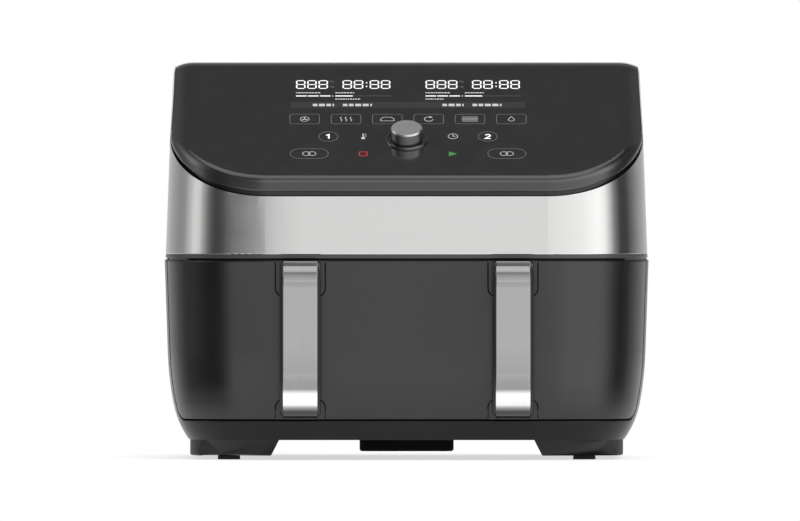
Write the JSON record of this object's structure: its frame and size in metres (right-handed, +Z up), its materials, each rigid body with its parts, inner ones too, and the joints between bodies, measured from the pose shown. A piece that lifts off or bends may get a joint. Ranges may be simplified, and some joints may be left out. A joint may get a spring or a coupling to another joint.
{
  "type": "air fryer",
  "caption": "Countertop air fryer with one wide drawer split by a lift-out divider, two strap handles, a sloped control cover and a knob.",
  "frame": {"origin": "centre of the bounding box footprint, on the surface the feet stand on", "axes": "+Z up, the drawer opens towards -Y, +X to the right seen from the front"},
  "size_m": [0.383, 0.402, 0.3148],
  "materials": {
    "gloss_black": "gloss black moulded cover with a dark printed panel",
    "band_steel": "fine horizontal brushing",
    "satin_black": "satin moulded plastic",
    "matt_black": "matt moulded plastic",
    "trim_grey": "satin moulded plastic, a little lighter",
    "belly_black": "dull moulded plastic",
    "ring_metal": "turned, dark",
    "foot_rubber": "matt rubber",
    "handle_steel": "satin brushed",
    "chamber_steel": "plain aluminised sheet",
    "element_steel": "heat darkened tube",
    "fan_aluminium": "pressed sheet",
    "shaft_steel": "ground",
    "fan_plastic": "moulded",
    "motor_metal": "laminated stack with varnish",
    "board_green": "coated board",
    "module_black": "moulded",
    "knob_metal": "turned, light face",
    "seal_silicone": "soft silicone",
    "pan_coating": "dark ceramic coat on steel",
    "divider_plastic": "heat proof moulding"
  },
  "bodies": {
    "housing": {"base_plate": "matt_black", "base_screws": "shaft_steel", "ceiling_baffle": "chamber_steel", "control_board": "board_green", "cord_gland": "satin_black", "display_modules": "module_black", "encoder_body": "module_black", "front_frame": "matt_black", "inner_chamber": "chamber_steel", "knob_ring": "ring_metal", "left_element_guard": "chamber_steel", "left_guide_rail": "chamber_steel", "left_heating_element": "element_steel", "left_leg_rail": "matt_black", "left_motor": "motor_metal", "lower_housing": "satin_black", "motor_deck": "chamber_steel", "power_board": "board_green", "rear_cover": "satin_black", "rear_spacers": "satin_black", "reed_switch": "module_black", "right_element_guard": "chamber_steel", "right_guide_rail": "chamber_steel", "right_heating_element": "element_steel", "right_leg_rail": "matt_black", "right_motor": "motor_metal", "rubber_feet": "foot_rubber", "steel_band": "band_steel", "temperature_probes": "chamber_steel", "top_cover": "gloss_black", "underside_cover": "belly_black", "upper_frame": "satin_black", "waist_trim": "trim_grey"},
    "knob": {"control_knob": "knob_metal", "encoder_shaft": "shaft_steel"},
    "left_fan": {"left_hot_fan": "fan_aluminium", "left_motor_shaft": "shaft_steel", "left_cooling_fan": "fan_plastic"},
    "right_fan": {"right_hot_fan": "fan_aluminium", "right_motor_shaft": "shaft_steel", "right_cooling_fan": "fan_plastic"},
    "drawer": {"drawer_front": "satin_black", "drawer_liner": "satin_black", "drawer_seal": "seal_silicone", "drawer_pan": "pan_coating", "divider_channels": "pan_coating", "drawer_magnet": "shaft_steel", "handle_pads": "matt_black", "handle_screws": "shaft_steel", "left_handle_core": "matt_black", "left_handle_strap": "handle_steel", "right_handle_core": "matt_black", "right_handle_strap": "handle_steel"},
    "divider": {"divider": "divider_plastic", "divider_seal": "seal_silicone"},
    "left_tray": {"left_tray": "pan_coating", "left_tray_bumpers": "seal_silicone"},
    "right_tray": {"right_tray": "pan_coating", "right_tray_bumpers": "seal_silicone"}
  },
  "joints": [
    {"name": "drawer_slide", "type": "slide", "parent": "housing", "child": "drawer", "axis": [0, -1, 0], "range_m": [0, 0.255]},
    {"name": "knob_turn", "type": "hinge", "parent": "housing", "child": "knob", "pos_m": [0, -0.1123, 0.2528], "axis": [0, -0.515, 0.8572], "continuous": true},
    {"name": "left_fan_spin", "type": "hinge", "parent": "housing", "child": "left_fan", "pos_m": [-0.08, 0.022, 0.2], "axis": [0, 0, 1], "continuous": true},
    {"name": "right_fan_spin", "type": "hinge", "parent": "housing", "child": "right_fan", "pos_m": [0.08, 0.022, 0.2], "axis": [0, 0, 1], "continuous": true},
    {"name": "divider_lift", "type": "slide", "parent": "drawer", "child": "divider", "axis": [0, 0, 1], "range_m": [0, 0.01]},
    {"name": "left_tray_lift", "type": "slide", "parent": "drawer", "child": "left_tray", "axis": [0, 0, 1], "range_m": [0, 0.085]},
    {"name": "right_tray_lift", "type": "slide", "parent": "drawer", "child": "right_tray", "axis": [0, 0, 1], "range_m": [0, 0.085]}
  ]
}
